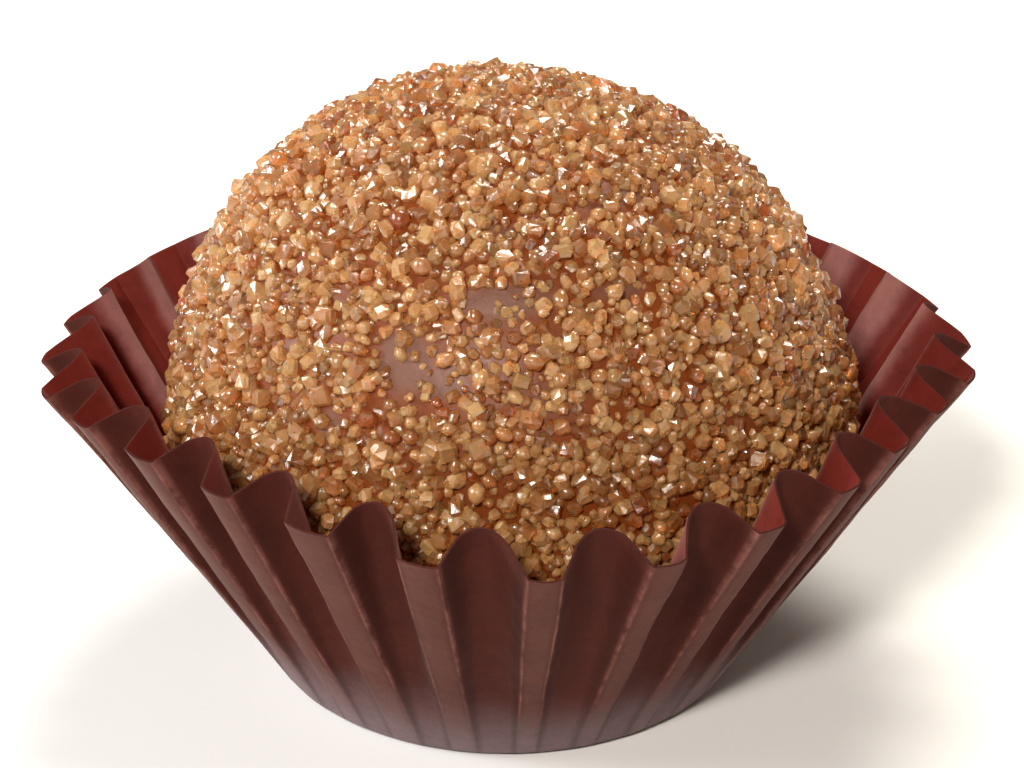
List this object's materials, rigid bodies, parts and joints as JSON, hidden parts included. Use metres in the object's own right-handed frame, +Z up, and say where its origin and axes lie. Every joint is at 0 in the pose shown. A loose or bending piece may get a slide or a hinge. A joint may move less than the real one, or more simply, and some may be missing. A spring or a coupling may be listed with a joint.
{
  "type": "brigadeiro",
  "caption": "Soft round fudge sweet rolled in coarse golden sugar, resting in a dark brown pleated paper case with a flared, scalloped rim.",
  "frame": {"origin": "centre of the paper case's flat underside, on the surface that the sweet stands on", "axes": "+Z up through the middle of the sweet, -Y towards the front, +X to the right seen from the front"},
  "size_m": [0.0404, 0.0401, 0.0265],
  "materials": {
    "sugared_fudge": "glittering",
    "case_paper": "waxy"
  },
  "bodies": {
    "root": {"sugared_sweet": "sugared_fudge", "paper_case": "case_paper"}
  },
  "joints": []
}
